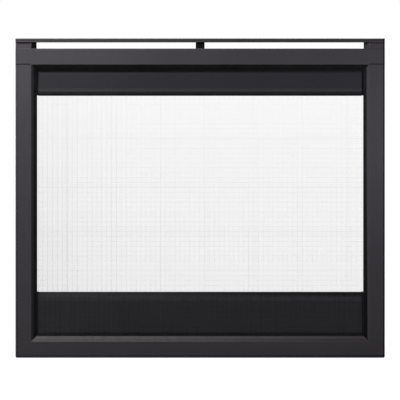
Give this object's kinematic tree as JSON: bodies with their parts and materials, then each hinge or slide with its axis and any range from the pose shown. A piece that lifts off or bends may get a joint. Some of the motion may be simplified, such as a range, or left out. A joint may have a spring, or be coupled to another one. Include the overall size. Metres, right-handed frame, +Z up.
{
  "type": "fireplace screen front",
  "caption": "Black folded sheet steel front for a built-in gas fireplace, with a slotted header, a bevelled opening and a lift-out mesh screen insert backed by two cover panels.",
  "frame": {"origin": "on the floor under the middle of the front's width and depth", "axes": "+X along the width to the viewer's right, -Y out of the front face, +Z up"},
  "size_m": [1.041, 0.051, 0.9],
  "materials": {
    "frame_coating": "satin black powder coat",
    "insert_coating": "satin black heat-resistant coat",
    "panel_coating": "matte black heat-resistant coat",
    "mesh_wire": "matte black coated woven wire",
    "galvanised_sheet": "galvanised sheet with a faint spangle",
    "bracket_zinc": "bright zinc plate",
    "zinc_fasteners": "bright zinc plate",
    "ferrite": "pressed ferrite, dark grey"
  },
  "bodies": {
    "front_frame": {"left_stile": "frame_coating", "right_stile": "frame_coating", "top_rail": "frame_coating", "bottom_rail": "frame_coating", "header_strip": "frame_coating", "centre_post": "frame_coating", "upper_left_gusset": "galvanised_sheet", "upper_right_gusset": "galvanised_sheet", "lower_left_gusset": "galvanised_sheet", "lower_right_gusset": "galvanised_sheet", "gusset_nuts": "zinc_fasteners", "header_screws": "zinc_fasteners", "rail_nuts": "zinc_fasteners", "left_screen_rest": "galvanised_sheet", "right_screen_rest": "galvanised_sheet", "rest_nuts": "zinc_fasteners", "left_catch_holder": "galvanised_sheet", "right_catch_holder": "galvanised_sheet", "left_magnet": "ferrite", "right_magnet": "ferrite", "catch_nuts": "zinc_fasteners", "bracket_washers": "zinc_fasteners", "bracket_nuts": "zinc_fasteners"},
    "upper_left_bracket": {"upper_left_bracket": "bracket_zinc"},
    "upper_right_bracket": {"upper_right_bracket": "bracket_zinc"},
    "lower_left_bracket": {"lower_left_bracket": "bracket_zinc"},
    "lower_right_bracket": {"lower_right_bracket": "bracket_zinc"},
    "screen_insert": {"insert_left_member": "insert_coating", "insert_right_member": "insert_coating", "insert_top_member": "insert_coating", "insert_bottom_member": "insert_coating", "corner_plates": "galvanised_sheet", "corner_plate_screws": "zinc_fasteners", "screen_mesh": "mesh_wire", "left_retainer": "insert_coating", "right_retainer": "insert_coating", "top_retainer": "insert_coating", "bottom_retainer": "insert_coating", "retainer_screws": "zinc_fasteners", "upper_panel": "panel_coating", "lower_panel": "panel_coating", "panel_screws": "zinc_fasteners", "strike_plates": "galvanised_sheet", "strike_rivets": "zinc_fasteners"}
  },
  "joints": [
    {"name": "insert_lift_out", "type": "slide", "parent": "front_frame", "child": "screen_insert", "axis": [0, 1, 0], "range_m": [0, 0.04]},
    {"name": "upper_left_bracket_slide", "type": "slide", "parent": "front_frame", "child": "upper_left_bracket", "axis": [0, 1, 0], "range_m": [0, 0.015]},
    {"name": "upper_right_bracket_slide", "type": "slide", "parent": "front_frame", "child": "upper_right_bracket", "axis": [0, 1, 0], "range_m": [0, 0.015]},
    {"name": "lower_left_bracket_slide", "type": "slide", "parent": "front_frame", "child": "lower_left_bracket", "axis": [0, 1, 0], "range_m": [0, 0.015]},
    {"name": "lower_right_bracket_slide", "type": "slide", "parent": "front_frame", "child": "lower_right_bracket", "axis": [0, 1, 0], "range_m": [0, 0.015]}
  ]
}
